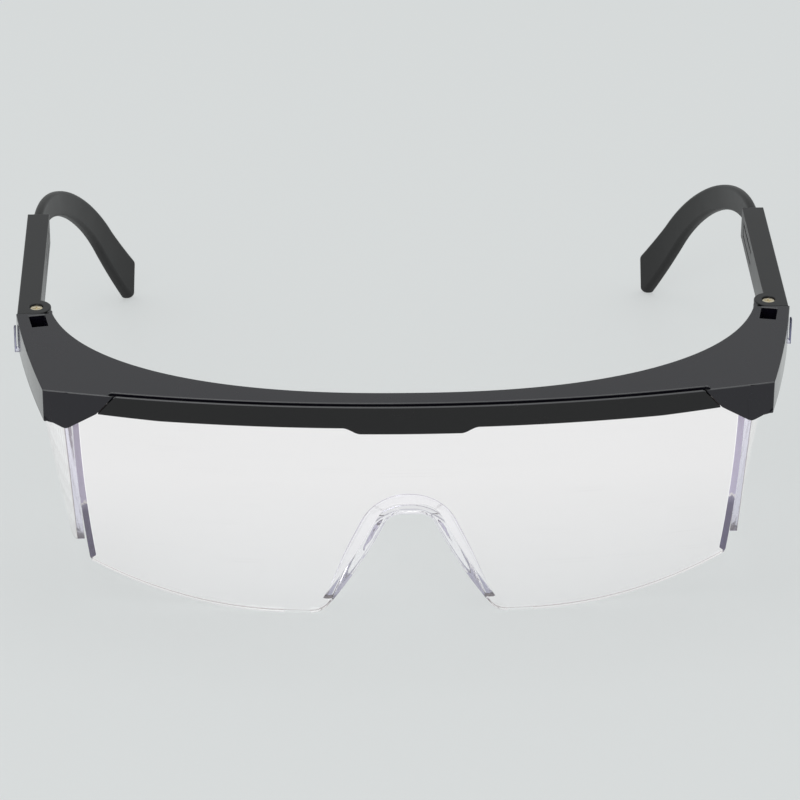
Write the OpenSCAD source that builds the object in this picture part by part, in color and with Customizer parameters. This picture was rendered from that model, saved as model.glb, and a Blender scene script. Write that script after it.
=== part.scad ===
// Safety glasses with a one-piece clear lens, clear side shields and a dark moulded
// brow frame. The temples fold on screw hinges, and each ear piece slides in its sleeve.
// Units are millimetres. The glasses stand on the lens and the two ear tips.
// +Z is up and the wearer looks along -Y. Left and right are the wearer's: left is +X.
// Every piece is drawn by its distance behind the front of the brow band.

/* [Overall] */
// Length from the front of the brow band to the back of the ear pieces
overall_depth = 144; // [142:0.5:148]
// Height of the brow frame's top above the table
overall_height = 48; // [46:0.5:50]
// Radius of the curve across the front
front_radius = 300; // [280:10:340]

/* [Brow frame] */
// Half of the width across the front corners
corner_half = 72.2; // [71.5:0.1:73]
// Half of the width across the hinge ends
hinge_half = 79; // [78.6:0.1:79.4]
// How far the sides bow outwards between those corners
side_bow = 0.5; // [0:0.1:0.8]
// Thickness of the top plate
plate_t = 2.2; // [1.8:0.1:2.4]
// Width of the top plate at the middle, from its front edge to its back edge
plate_mid = 4.4; // [4:0.1:5]
// Height of the side walls and of the hinge ends
side_h = 7.1; // [7:0.1:7.4]
// Thickness of the side walls
side_wall = 1.6; // [1.2:0.1:1.8]
// How far the end caps reach down at their lowest corner
cap_drop = 8.2; // [7.8:0.1:8.6]
// Thickness of the end caps in front of the lens
cap_t = 1.2; // [1:0.1:1.2]
// Width of the square window beside each hinge
window_w = 3.3; // [3:0.1:3.4]
// Length of that window, front to back
window_l = 5; // [4.5:0.1:5]
// Depth of that window, which is a blind pocket
window_h = 4.6; // [4:0.1:5]

/* [Brow band] */
// Thickness of the band
band_t = 1.1; // [0.9:0.05:1.15]
// Height of the band
band_h = 4.9; // [4.6:0.1:5.2]
// How far the deeper middle stretch hangs below the band's top
band_mid_h = 6.2; // [5.8:0.1:6.6]
// Half of the length of that middle stretch along its lower edge
band_mid_half = 9.9; // [9:0.1:12]
// Thickness of the lip that the band keeps in front of the groove along its top
band_lip = 0.5; // [0.4:0.05:0.7]
// Depth of that groove
groove_h = 0.9; // [0.5:0.1:1.2]

/* [Lens] */
// Thickness of the lens
lens_t = 2.1; // [1.8:0.1:2.2]
// Half of the lens's width at the top
lens_top_half = 66.8; // [66:0.1:67]
// Half of the lens's width at its lower corners
lens_low_half = 63.6; // [62:0.1:64]
// Radius of the rounded lower corners beside the nose
lens_nose_r = 4.5; // [4:0.1:5]
// Half of the distance between the outer ends of the two straight lower edges
lens_foot_out = 25; // [24:0.5:27]
// Radius of the lower edge from there to the corners
lens_low_r = 85; // [80:1:95]

/* [Nose bridge] */
// Height of the top of the nose notch above the table
nose_top = 23; // [22:0.1:24]
// Angle of the notch's sides from upright at their top
nose_angle = 25; // [24:0.5:27]
// Radius of the curve by which the sides spread further on their way down
nose_side_r = 115; // [105:5:130]
// Half of the flat at the top of the notch
nose_flat = 1.7; // [1.2:0.1:2]
// Radius of the two upper corners of the notch
nose_r = 3.6; // [3:0.1:4]
// Thickness of the moulded nose flange
flange_t = 1.5; // [1.2:0.1:1.8]
// How far the flange reaches back from the front of the lens
flange_d = 8; // [7:0.5:9]

/* [Side shields] */
// Thickness of the side shields
shield_t = 1.5; // [1.2:0.1:1.8]
// Height of the lowest point of a side shield above the table
shield_low = 4; // [3:0.5:6]

/* [Temple sleeves] */
// Distance of a sleeve's outer face from the middle
sleeve_half = 78.8; // [78.6:0.1:79]
// Width of a sleeve
sleeve_w = 4.6; // [4.4:0.1:4.8]
// Distance of a sleeve's open back end behind the front
sleeve_end = 88.2; // [86:0.1:90]

/* [Ear pieces] */
// Thickness of the strap
strap_t = 2; // [1.8:0.05:2.05]
// Height of the strap
strap_h = 5.5; // [5.2:0.1:5.8]
// How much deeper the strap grows by its tip
tip_flare = 0.7; // [0:0.1:1]
// Radius of the strap's middle line where it bends down behind the ear
drop_r = 53; // [50:0.5:55]
// Angle that it bends down through
drop_angle = 59; // [56:0.5:60]
// Radius of the strap's outer face where it curves in behind the head
inward_r = 108; // [100:1:115]
// Angle that it curves in through
inward_angle = 34; // [30:0.5:35]
// Length that an ear piece can be drawn out
slide_travel = 12; // [8:1:12]
// Distance between the click grooves
click_pitch = 4; // [3:0.5:5]

/* [Hinges] */
// Distance of the hinge axis from the middle
axis_x = 75; // [74.9:0.05:75.1]
// Distance of the hinge axis behind the front
axis_d = 44.8; // [44.7:0.05:45]
// Radius of the hinge ears
ear_r = 3; // [2.8:0.05:3]
// Radius of the screw's shank
screw_r = 0.7; // [0.6:0.05:0.8]
// Radius of the screw's head
head_r = 1.25; // [1.15:0.05:1.3]

/* [Hidden] */

frame_colour = "#36373a";
band_colour = "#2a292b";
temple_colour = "#3a3b3e";
clear_colour = "#dfe3ea";
brass_colour = "#c9b988";

// Clearances: between fixed pieces, between pieces that move, and round a pin
fit_gap = 0.12;
move_gap = 0.2;
pin_gap = 0.05;
fine = 48;

top = overall_height;

// ---- curves shared by several pieces -------------------------------------------------

// Points spread evenly from a to b
function spread(a, b, count) = [for (i = [0 : count]) a + (b - a) * i / count];

function reversed(list) = [for (i = [len(list) - 1 : -1 : 0]) list[i]];

function mirrored(list) = [for (p = reversed(list)) [-p.x, p.y]];

// Circular arc round c from angle a0 to a1
function arc(c, r, a0, a1, count) =
    [for (a = spread(a0, a1, count)) [c.x + r * cos(a), c.y + r * sin(a)]];

// Shallow bow from p to q, standing out by rise to the right of the way from p to q
function bowed(p, q, rise, count) =
    let (way = q - p, side = [way.y, -way.x] / norm(way))
    [for (t = spread(0, 1, count)) p + way * t + side * rise * 4 * t * (1 - t)];

// Y of a point that lies a distance behind the front
function y_at(behind) = behind - overall_depth / 2;

// Y of the front curve at x, set back by a distance
function front_y(x, back = 0) = y_at(back + x * x / (2 * front_radius));

// A strip in plan that follows the front curve, between two set-backs
module front_strip(near, far, half) {
    polygon(concat(
        [for (x = spread(-half, half, 48)) [x, front_y(x, near)]],
        [for (x = spread(half, -half, 48)) [x, front_y(x, far)]]
    ));
}

// An upright sheet that follows the front curve, cut to an outline drawn in X and Z
module curved_sheet(near, far, half) {
    intersection() {
        linear_extrude(overall_height) front_strip(near, far, half);
        translate([0, y_at(0) + 60, 0]) rotate([90, 0, 0]) linear_extrude(120) children();
    }
}

// Draws its children as they are for the left side, and mirrored for the right side
module on_side(left) {
    if (left) children();
    else mirror([1, 0, 0]) children();
}

// ---- brow frame ----------------------------------------------------------------------

butt_d = axis_d - ear_r - move_gap;
corner = [corner_half, front_y(corner_half)];
hinge_corner = [hinge_half, y_at(butt_d)];

// The back edge of the top plate: a superellipse that opens towards the hinges
rim_half = 73;
rim_power = 2.3;
rim_depth = 48;
groove_back = 1.5;
pit_r = 0.7;
rim_mid_d = groove_back + plate_mid + rim_depth;
rim_end_x = 71.65;
rim_end_a = acos(pow(rim_end_x / rim_half, rim_power / 2));
function rim(a) = [
    rim_half * pow(cos(a), 2 / rim_power),
    y_at(rim_mid_d - rim_depth * pow(sin(a), 2 / rim_power)),
];

// Where the seams between the band and the end caps start at the top, and where they
// come out at the bottom
seam_top_x = 58.4;
seam_low_x = 61.6;
seam_low_z = top - 4.4;

side_line = bowed(corner, hinge_corner, side_bow, 10);

module plate_outline() {
    half = concat(
        [for (x = spread(0, seam_low_x + 0.4, 16)) [x, front_y(x, groove_back)]],
        [for (x = spread(seam_low_x + 0.7, corner_half, 4)) [x, front_y(x)]],
        side_line,
        [[rim_end_x, y_at(butt_d)]],
        [for (a = spread(rim_end_a, 89.5, 60)) rim(a)]
    );
    polygon(concat(half, mirrored(half)));
}

module side_wall_outline() {
    inside = [for (p = side_line) p - [side_wall, 0]];
    polygon(concat(side_line, reversed(inside)));
}

// An end cap drops from the seam to a rounded low corner, and rises to the front corner
module cap_outline() {
    round_r = 1.4;
    low_x = 68;
    polygon(concat(
        [[seam_top_x, top], [seam_top_x, top - 0.4], [seam_low_x + fit_gap, seam_low_z]],
        arc([low_x, top - cap_drop + round_r], round_r, -121, -65, 6),
        arc([corner_half - round_r, top - side_h + round_r + 0.2], round_r, -65, 0, 6),
        [[corner_half, top]]
    ));
}

// The solid end that carries the hinge, from the front of the window to the butt face
block_d = 34;
lug_d = 42.9;
lug_half = 72.35;
module hinge_block_outline() {
    intersection() {
        plate_outline();
        translate([rim_end_x - 10, y_at(block_d)]) square([30, butt_d - block_d]);
    }
    translate([rim_end_x, y_at(butt_d) - 1]) square([lug_half - rim_end_x, lug_d - butt_d + 1]);
}

// Height of each of the two hinge ears and of the frame's tongue between them
ear_h = 2.3;
tongue_low = top - side_h + ear_h + move_gap;
tongue_h = side_h - 2 * ear_h - 2 * move_gap;
window_d = 38.3;
window_x = 74.3;
window_turn = -11;
bridge_d = window_d + window_l / 2 + 0.1;

// The shield's lug, which a socket in the frame's hinge end takes, and its hook
lug_w = 2;
lug_l = 3.6;
lug_h = 2.9;
lug_gap = 0.1;
hook_d = 40.4;
hook_l = 1.1;
module lug_at(grow) {
    translate([window_x - 0.9 - grow, y_at(window_d) - lug_l / 2 - grow, hook_top - 1.4 - grow])
        children();
}

module tongue() {
    reach = axis_d - bridge_d;
    translate([axis_x, y_at(axis_d), tongue_low]) {
        cylinder(r = ear_r - 0.1, h = tongue_h, $fn = fine);
        translate([-ear_r + 0.4, -reach, 0]) cube([2 * ear_r - 1, reach, tongue_h]);
    }
}

module brow_frame() {
    lip_near = lens_near + lens_t + fit_gap;
    color(frame_colour) difference() {
        union() {
            translate([0, 0, top - plate_t]) linear_extrude(plate_t) plate_outline();
            curved_sheet(lip_near, lip_near + 1.3, 64) {
                translate([-64, top - 5]) square([128, 5]);
            }
            for (left = [true, false]) on_side(left) {
                translate([0, 0, top - side_h]) linear_extrude(side_h) side_wall_outline();
                translate([0, 0, top - side_h]) linear_extrude(side_h) hinge_block_outline();
                curved_sheet(0, cap_t, corner_half) cap_outline();
                curved_sheet(0, groove_back + 0.1, corner_half) intersection() {
                    cap_outline();
                    translate([0, top - plate_t]) square([corner_half, plate_t]);
                }
                tongue();
            }
        }
        for (left = [true, false]) on_side(left) {
            translate([window_x, y_at(window_d), top - window_h]) rotate([0, 0, window_turn])
                translate([-window_w / 2, -window_l / 2, 0]) cube([window_w, window_l, window_h + 1]);
            lug_at(lug_gap) cube([lug_w + 2 * lug_gap, lug_l + 2 * lug_gap, lug_h + 2 * lug_gap]);
            translate([axis_x, y_at(axis_d), 0])
                cylinder(r = screw_r + pin_gap, h = top, $fn = fine);
            // The little round pit that ends the groove beside the seam
            translate([seam_top_x + 0.1, front_y(seam_top_x, groove_back / 2 + 0.1), top - groove_h])
                cylinder(r = pit_r, h = groove_h + 1, $fn = fine);
            for (z = [top - side_h - 1, tongue_low + tongue_h])
                translate([axis_x, y_at(axis_d), z])
                    cylinder(r = ear_r + move_gap, h = ear_h + move_gap + 1, $fn = fine);
        }
    }
}

// ---- brow band -----------------------------------------------------------------------

module band_outline() {
    step_half = band_mid_half + 3.5;
    half = concat(
        [[0, top - band_mid_h]],
        [for (t = spread(0, 1, 10)) [
            band_mid_half + (step_half - band_mid_half) * t,
            top - band_mid_h + (band_mid_h - band_h) * t * t * (3 - 2 * t)
        ]],
        [
            [seam_low_x - 12, top - band_h],
            [seam_low_x - fit_gap, seam_low_z],
            [seam_top_x - fit_gap, top - 0.5],
            [seam_top_x - 0.6, top - fit_gap],
            [0, top - fit_gap],
        ]
    );
    polygon(concat(half, mirrored(half)));
}

module brow_band() {
    color(band_colour) difference() {
        curved_sheet(0, band_t, seam_low_x) band_outline();
        curved_sheet(band_lip, band_t + 0.1, seam_low_x) {
            translate([-seam_low_x, top - groove_h]) square([2 * seam_low_x, groove_h]);
        }
    }
}

// ---- lens ----------------------------------------------------------------------------

lens_near = cap_t + fit_gap;
lens_top = top - plate_t - fit_gap;
lens_low_z = lens_low_r - sqrt(pow(lens_low_r, 2) - pow(lens_low_half - lens_foot_out, 2));

// The nose notch grown by a distance. Each side is a shallow curve that ends in a tight
// upper corner. notch_c is the centre of the right side's curve
corner_c = [nose_flat, nose_top - nose_r];
notch_c = corner_c + (nose_r + nose_side_r) * [cos(nose_angle), sin(nose_angle)];
notch_low_a = 40;
module notch_outline(grow) {
    half = concat(
        arc(notch_c, nose_side_r - grow, 180 + notch_low_a, 180 + nose_angle, 12),
        arc(corner_c, nose_r + grow, nose_angle, 90, 8)
    );
    polygon(concat(half, mirrored(half)));
}

// The angle at which the notch's side runs into the lens's rounded lower corner, and the
// X of that corner's centre
foot_a = asin((notch_c.y - lens_nose_r) / (nose_side_r - lens_nose_r));
lens_foot_in = notch_c.x - (nose_side_r - lens_nose_r) * cos(foot_a);

module lens_outline() {
    foot_c = [lens_foot_in, lens_nose_r];
    low_a = asin((lens_low_half - lens_foot_out) / lens_low_r);
    half = concat(
        [[0, lens_nose_r]],
        arc(foot_c, lens_nose_r, 180 + foot_a, 270, 8),
        [for (a = spread(0, low_a, 12))
            [lens_foot_out + lens_low_r * sin(a), lens_low_r * (1 - cos(a))]],
        bowed([lens_low_half + 0.5, lens_low_z + 0.8], [lens_top_half, lens_top], 0.6, 10)
    );
    difference() {
        polygon(concat(half, mirrored(half)));
        notch_outline(0);
    }
}

// The nose flange, seen from the side: shallow at its lower ends
module flange_side() {
    front = y_at(lens_near);
    polygon([
        [front + 0.3, 1.6],
        [front + 4, 1.6],
        [front + 4.8, 2.2],
        [front + flange_d - 0.6, 11],
        [front + flange_d, 13],
        [front + flange_d, nose_top + 3],
        [front + 0.3, nose_top + 3],
    ]);
}

module lens() {
    reach = flange_d + 1;
    color(clear_colour, 0.4) {
        curved_sheet(lens_near, lens_near + lens_t, lens_top_half + 1) lens_outline();
        intersection() {
            translate([0, y_at(lens_near) + reach, 0]) rotate([90, 0, 0]) linear_extrude(reach)
                difference() {
                    notch_outline(flange_t);
                    notch_outline(0);
                }
            translate([-30, 0, 0]) rotate([90, 0, 90]) linear_extrude(60) flange_side();
        }
    }
}

// ---- side shields --------------------------------------------------------------------

shield_front = 11.2;
shield_back = 42;
shield_round = 34;

// The panel reaches up under the top plate, and drops below the frame at the hinge block
function shield_top(behind) = behind < block_d - 0.3 ? top - plate_t - fit_gap : hook_top;
hook_top = top - side_h - 0.3;

// X of a shield's outer face. It stands further out towards the hinge, and leans in
// towards the cheek, more so at the back
function shield_x(behind, z) =
    let (t = (behind - shield_front) / (shield_back - shield_front))
    let (lean = 0.07 + 0.1 * t)
    68.4 + 8.4 * t - lean * (39 - z);

// Z of a shield's lower edge: lowest ahead of a big round corner at the back
function shield_low_z(behind) =
    behind < shield_round
    ? shield_low + 8.5 * pow((shield_round - behind) / (shield_round - shield_front), 1.6)
    : shield_low + 11 * (1 - sqrt(1 - pow((behind - shield_round) / (shield_back - shield_round), 2)));

module shield_panel() {
    rows = 8;
    step = block_d - 0.3;
    stations = concat(spread(shield_front, step - 0.01, 8), [step, 36, 38, 39.6, 40.8, 41.6, shield_back]);
    cols = len(stations);
    grid = [for (depth = [0, 1]) for (d = stations) for (r = [0 : rows])
        let (low = shield_low_z(d), z = low + (shield_top(d) - low) * r / rows)
        [shield_x(d, z) - depth * shield_t, y_at(d), z]];
    n = rows + 1;
    back = cols * n;
    outer = [for (i = [0 : cols - 2]) for (j = [0 : rows - 1])
        [i * n + j, (i + 1) * n + j, (i + 1) * n + j + 1, i * n + j + 1]];
    inner = [for (f = outer) [for (k = reversed(f)) k + back]];
    ends = concat(
        [for (j = [0 : rows - 1]) [j, j + 1, back + j + 1, back + j]],
        [for (j = [0 : rows - 1]) let (k = (cols - 1) * n + j) [k + 1, k, back + k, back + k + 1]]
    );
    edges = concat(
        [for (i = [0 : cols - 2]) [(i + 1) * n, i * n, back + i * n, back + (i + 1) * n]],
        [for (i = [0 : cols - 2]) let (k = i * n + rows) [k, k + n, back + k + n, back + k]]
    );
    polyhedron(points = grid, faces = [for (f = concat(outer, inner, ends, edges)) reversed(f)]);
}

// A lug that snaps up into a socket under the frame's hinge end, and a hook with a thin
// lip that grips the side of the frame
module shield_fixings() {
    lug_at(0) cube([lug_w, lug_l, lug_h]);
    bar_x = shield_x(shield_back, hook_top) - 0.6;
    bar_h = 0.9;
    lip_t = 0.4;
    translate([bar_x, y_at(hook_d), hook_top - bar_h])
        cube([hinge_half + fit_gap + lip_t - bar_x, hook_l, bar_h]);
    translate([hinge_half + fit_gap, y_at(hook_d), hook_top - bar_h]) cube([lip_t, hook_l, 5.8]);
}

module side_shield(left) {
    color(clear_colour, 0.4) on_side(left) {
        shield_panel();
        shield_fixings();
    }
}

// ---- hinge -------------------------------------------------------------------------

sleeve_low = top - side_h;
sleeve_h = side_h - 0.1;
bore_floor = 0.95;
nut_h = 1;
nut_low = sleeve_low + 0.15;
nut_r = 1.45;

module hinge_screw(left) {
    head_low = top - 0.1 - bore_floor;
    head_h = 0.6;
    cross_w = 0.28;
    color(brass_colour) on_side(left) translate([axis_x, y_at(axis_d), 0]) difference() {
        union() {
            translate([0, 0, head_low]) cylinder(r = head_r, h = head_h, $fn = fine);
            translate([0, 0, nut_low]) cylinder(r = screw_r, h = head_low - nut_low, $fn = fine);
        }
        for (turn = [0, 90]) rotate([0, 0, turn])
            translate([-head_r * 0.62, -cross_w / 2, head_low + head_h - 0.35])
                cube([head_r * 1.24, cross_w, 1]);
    }
}

module hinge_nut(left) {
    color(brass_colour) on_side(left) translate([axis_x, y_at(axis_d), nut_low]) difference() {
        cylinder(r = nut_r, h = nut_h, $fn = 6);
        translate([0, 0, -1]) cylinder(r = screw_r + 0.02, h = nut_h + 2, $fn = fine);
    }
}

// ---- temple sleeves ------------------------------------------------------------------

strap_x = sleeve_half - 1.05;
strap_z = sleeve_low + sleeve_h / 2;
channel_d = 51;
channel_gap = 0.14;

module sleeve_outline() {
    inner_x = sleeve_half - sleeve_w;
    translate([axis_x, y_at(axis_d)]) circle(r = ear_r, $fn = fine);
    translate([inner_x, y_at(axis_d)]) square([sleeve_w, sleeve_end - axis_d]);
    translate([axis_x, y_at(butt_d + move_gap)])
        square([sleeve_half - axis_x, axis_d - butt_d - move_gap + 0.1]);
}

module temple_sleeve(left) {
    color(temple_colour) on_side(left) difference() {
        translate([0, 0, sleeve_low]) linear_extrude(sleeve_h) sleeve_outline();
        // The slot for the frame's tongue
        translate([axis_x, y_at(axis_d), tongue_low - move_gap]) {
            cylinder(r = ear_r + 0.3, h = tongue_h + 2 * move_gap, $fn = fine);
            translate([-6, -6, 0]) cube([12, 6, tongue_h + 2 * move_gap]);
        }
        // The screw's way through both ears, its counterbore and the nut's pocket
        translate([axis_x, y_at(axis_d), 0]) {
            cylinder(r = screw_r + 0.02, h = top + 1, $fn = fine);
            translate([0, 0, top - 0.1 - bore_floor]) cylinder(r = head_r + 0.1, h = 2, $fn = fine);
            translate([0, 0, sleeve_low - 1]) cylinder(r = nut_r + 0.06, h = nut_h + 1.17, $fn = 6);
        }
        // The channel that the strap slides in
        translate([strap_x - strap_t - channel_gap, y_at(channel_d), strap_z - strap_h / 2 - channel_gap])
            cube([strap_t + 2 * channel_gap, sleeve_end - channel_d + 1, strap_h + 2 * channel_gap]);
        // Slits that free the click tongue in the inner wall
        translate([sleeve_half - sleeve_w - 1, y_at(sleeve_end - 18), strap_z]) {
            for (z = [-1.6, 1.1]) translate([0, 0, z]) cube([2, 14, 0.5]);
            translate([0, 13.5, -1.6]) cube([2, 0.5, 3.2]);
        }
    }
}

// ---- ear pieces ----------------------------------------------------------------------

strap_start = 52;
tip_low_r = 0.8;
tip_back_r = 2;
tip_cut = 6.4;
half_h = strap_h / 2;

// The leg below the bend: how far its two rounded tip corners lie along it
leg_z = strap_z - drop_r * (1 - cos(drop_angle));
leg_low = (leg_z - (half_h - tip_low_r) * cos(drop_angle) - tip_low_r) / sin(drop_angle);
leg_back = leg_low - tip_cut;
low_reach = leg_low * cos(drop_angle) - (half_h - tip_low_r) * sin(drop_angle) + tip_low_r;
back_across = half_h + tip_flare - tip_back_r;
back_reach = leg_back * cos(drop_angle) + back_across * sin(drop_angle) + tip_back_r;
drop_d = overall_depth - drop_r * sin(drop_angle) - max(low_reach, back_reach);

// A point of the leg, by its distance along it and across it, in Y and Z
function on_leg(along, across) =
    [y_at(drop_d + drop_r * sin(drop_angle)), leg_z]
    + along * [cos(drop_angle), -sin(drop_angle)]
    + across * [sin(drop_angle), cos(drop_angle)];

// The strap seen from the side: level, bent down, and ended between two rounded corners
module strap_side() {
    centre = [y_at(drop_d), strap_z - drop_r];
    low_c = on_leg(leg_low, tip_low_r - half_h);
    back_c = on_leg(leg_back, back_across);
    between = back_c - low_c;
    facing = atan2(between.y, between.x) - acos((tip_low_r - tip_back_r) / norm(between));
    polygon(concat(
        [[y_at(strap_start), strap_z - half_h]],
        arc(centre, drop_r - half_h, 90, 90 - drop_angle, 20),
        arc(low_c, tip_low_r, -90 - drop_angle, facing, 8),
        arc(back_c, tip_back_r, facing, 90 - drop_angle, 8),
        arc(centre, drop_r + half_h, 90 - drop_angle, 90, 20),
        [[y_at(strap_start), strap_z + half_h]]
    ));
}

// The strap seen from above: straight in the sleeve, then curving in behind the head
module strap_plan() {
    bend = y_at(sleeve_end - 3);
    centre = [strap_x - inward_r, bend];
    end = inward_angle;
    away = 30 * [-sin(end), cos(end)];
    outer = arc(centre, inward_r, 0, end, 20);
    inner = arc(centre, inward_r - strap_t, 0, end, 20);
    polygon(concat(
        [[strap_x, y_at(strap_start) - 1]], outer, [outer[20] + away],
        [inner[20] + away], reversed(inner), [[strap_x - strap_t, y_at(strap_start) - 1]]
    ));
}

module ear_piece(left) {
    groove_r = 0.5;
    color(temple_colour) on_side(left) difference() {
        intersection() {
            translate([-overall_depth, 0, 0]) rotate([90, 0, 90])
                linear_extrude(2 * overall_depth) strap_side();
            linear_extrude(overall_height) strap_plan();
        }
        for (i = [0 : 7])
            translate([strap_x - strap_t - groove_r * 0.4, y_at(62 + i * click_pitch), 0])
                cylinder(r = groove_r, h = top, $fn = fine);
    }
}

brow_frame();
brow_band();
lens();
side_shield(true);  // side_shield_left
side_shield(false);  // side_shield_right
temple_sleeve(true);  // temple_sleeve_left
temple_sleeve(false);  // temple_sleeve_right
ear_piece(true);  // ear_piece_left
ear_piece(false);  // ear_piece_right
hinge_screw(true);  // hinge_screw_left
hinge_screw(false);  // hinge_screw_right
hinge_nut(true);  // hinge_nut_left
hinge_nut(false);  // hinge_nut_right
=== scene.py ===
import math

import bmesh
import bpy
from mathutils import Matrix, Vector
from mathutils.bvhtree import BVHTree


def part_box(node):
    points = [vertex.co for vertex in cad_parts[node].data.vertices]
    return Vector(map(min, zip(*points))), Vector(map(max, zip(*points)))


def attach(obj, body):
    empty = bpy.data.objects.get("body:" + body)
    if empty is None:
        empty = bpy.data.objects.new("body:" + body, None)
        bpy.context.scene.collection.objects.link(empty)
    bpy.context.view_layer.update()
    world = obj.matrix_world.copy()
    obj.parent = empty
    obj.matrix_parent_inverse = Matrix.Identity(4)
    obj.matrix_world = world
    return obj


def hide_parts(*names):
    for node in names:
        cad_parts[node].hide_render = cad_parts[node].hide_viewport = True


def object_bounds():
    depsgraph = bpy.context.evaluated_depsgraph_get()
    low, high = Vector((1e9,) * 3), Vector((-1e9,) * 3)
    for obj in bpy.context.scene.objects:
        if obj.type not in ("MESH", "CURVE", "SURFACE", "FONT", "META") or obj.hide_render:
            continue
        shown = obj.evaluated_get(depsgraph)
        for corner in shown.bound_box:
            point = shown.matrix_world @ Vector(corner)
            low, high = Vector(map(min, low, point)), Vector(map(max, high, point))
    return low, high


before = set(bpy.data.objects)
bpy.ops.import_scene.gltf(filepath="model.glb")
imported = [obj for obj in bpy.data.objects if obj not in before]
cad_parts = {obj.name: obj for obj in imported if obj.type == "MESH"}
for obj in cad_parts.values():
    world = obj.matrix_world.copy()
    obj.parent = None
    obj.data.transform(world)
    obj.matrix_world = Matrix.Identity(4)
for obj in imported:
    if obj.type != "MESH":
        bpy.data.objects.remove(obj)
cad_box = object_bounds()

MM = 0.001


# ---- Camera, table and studio light ------------------------------------------------------
# The glasses stand on a pale light table, facing a long lens that looks down on their
# brow. A pale studio surrounds them, with one soft box overhead and one in front.

front = cad_box[0].y
top = cad_box[1].z

camera_data = bpy.data.cameras.new("studio_camera")
camera_data.sensor_width = 36.0
camera_data.lens = 184.3
camera_data.clip_end = 10.0
camera = bpy.data.objects.new("studio_camera", camera_data)
bpy.context.scene.collection.objects.link(camera)
bpy.context.scene.camera = camera

aim = Vector((-2.16 * MM, front + 1.3 * MM, top + 0.84 * MM))
view_distance = 0.8
turned = (
    Matrix.Rotation(math.radians(-2.06), 4, "Z")
    @ Matrix.Rotation(math.radians(90.0 - 28.43), 4, "X")
    @ Matrix.Rotation(math.radians(0.34), 4, "Z")
)
camera.matrix_world = Matrix.Translation(aim) @ turned @ Matrix.Translation((0, 0, view_distance))


def soft_box(name, place, size, power, target):
    """A square soft box that faces a point."""
    data = bpy.data.lights.new(name, "AREA")
    data.shape = "RECTANGLE"
    data.size, data.size_y = size
    data.energy = power
    lamp = bpy.data.objects.new(name, data)
    bpy.context.scene.collection.objects.link(lamp)
    way = Vector(target) - Vector(place)
    facing = way.to_track_quat("-Z", "Y").to_matrix().to_4x4()
    lamp.matrix_world = Matrix.Translation(place) @ facing


soft_box("overhead_box", (0.0, 0.15, 0.9), (0.9, 0.6), 1.5, (0, 0, 0.03))
soft_box("front_box", (-0.35, -0.8, 0.55), (0.5, 0.5), 1.6, (0, -0.05, 0.03))

world = bpy.data.worlds.new("pale_studio")
world.use_nodes = True
world.node_tree.nodes["Background"].inputs["Color"].default_value = (0.615, 0.632, 0.632, 1)
world.node_tree.nodes["Background"].inputs["Strength"].default_value = 1.0
bpy.context.scene.world = world
bpy.context.scene.view_settings.view_transform = "Standard"

table_mesh = bpy.data.meshes.new("table")
reach = 4.0
table_corners = [(-reach, -reach, 0), (reach, -reach, 0), (reach, reach, 0), (-reach, reach, 0)]
table_mesh.from_pydata(table_corners, [], [(0, 1, 2, 3)])
table = bpy.data.objects.new("table", table_mesh)
bpy.context.scene.collection.objects.link(table)
table_finish = bpy.data.materials.new("light_table")
table_finish.use_nodes = True
table_skin = table_finish.node_tree.nodes["Principled BSDF"]
table_skin.inputs["Base Color"].default_value = (0.30, 0.31, 0.31, 1)
table_skin.inputs["Roughness"].default_value = 0.9
table_skin.inputs["Specular IOR Level"].default_value = 0.0
table_skin.inputs["Emission Color"].default_value = (0.615, 0.632, 0.632, 1)
table_skin.inputs["Emission Strength"].default_value = 0.705
table_mesh.materials.append(table_finish)


# ---- Brow frame --------------------------------------------------------------------------
# One moulding of black nylon: the top plate, the side walls, the end caps in front of the
# lens, and the hinge ends with their square pockets. Its edges are softened by the mould,
# and its skin is satin with a very fine grain. Its upper front edges carry a paler painted
# highlight, and its side walls are glossier, with a lighter painted sheen in their colour.

def add_node(tree, kind, place, **values):
    """A shader or geometry node, with its plain input values set by name."""
    node = tree.nodes.new(kind)
    node.location = (place[0] * 190, place[1] * 170)
    for name, value in values.items():
        node.inputs[name.replace("_", " ")].default_value = value
    return node


def group_with(name, kind, inputs, outputs):
    """An empty node group with named inputs and outputs, each (name, socket type, value)."""
    tree = bpy.data.node_groups.new(name, kind)
    for label, socket_type, value in inputs:
        socket = tree.interface.new_socket(label, in_out="INPUT", socket_type=socket_type)
        if value is not None:
            socket.default_value = value
    for label, socket_type in outputs:
        tree.interface.new_socket(label, in_out="OUTPUT", socket_type=socket_type)
    return tree, tree.nodes.new("NodeGroupInput"), tree.nodes.new("NodeGroupOutput")


def add_math(tree, operation, place, *values):
    """A maths node whose inputs are numbers or sockets. Returns its result."""
    node = tree.nodes.new("ShaderNodeMath")
    node.operation = operation
    node.location = (place[0] * 190, place[1] * 170)
    for given, value in zip(node.inputs, values):
        if isinstance(value, (int, float)):
            given.default_value = value
        else:
            tree.links.new(value, given)
    return node.outputs["Value"]


def add_mix(tree, blend, place, factor, first, second):
    """A colour mix of two sockets, by a number or a socket. Returns its result."""
    node = tree.nodes.new("ShaderNodeMix")
    node.data_type = "RGBA"
    node.blend_type = blend
    node.location = (place[0] * 190, place[1] * 170)
    if isinstance(factor, (int, float)):
        node.inputs["Factor"].default_value = factor
    else:
        tree.links.new(factor, node.inputs["Factor"])
    tree.links.new(first, node.inputs["A"])
    tree.links.new(second, node.inputs["B"])
    return node.outputs["Result"]


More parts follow.
